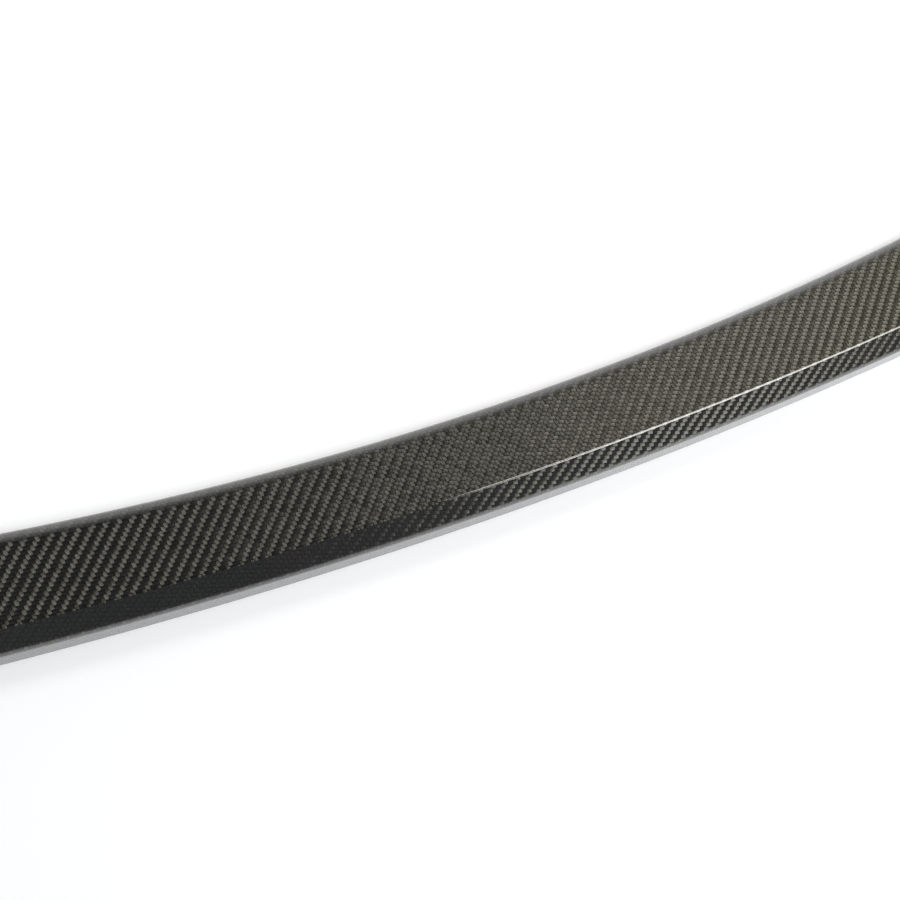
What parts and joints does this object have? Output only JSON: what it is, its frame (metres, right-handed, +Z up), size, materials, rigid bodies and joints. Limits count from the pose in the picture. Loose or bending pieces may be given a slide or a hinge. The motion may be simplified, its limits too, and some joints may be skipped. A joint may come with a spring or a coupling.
{
  "type": "car rear spoiler",
  "caption": "Low rear lip spoiler for a boot lid: a bowed, clear-coated carbon-weave shell with a rising top face, a crisp crest, a sloped shoulder behind it and an open underside.",
  "frame": {"origin": "middle of the bounding box, on the bonding face that lies on the boot lid", "axes": "+X across the car, +Y to the front of the car, +Z up"},
  "size_m": [1.1752, 0.1356, 0.0269],
  "materials": {
    "carbon_weave": "twill carbon weave under a clear gloss coat"
  },
  "bodies": {
    "root": {"spoiler_shell": "carbon_weave"}
  },
  "joints": []
}
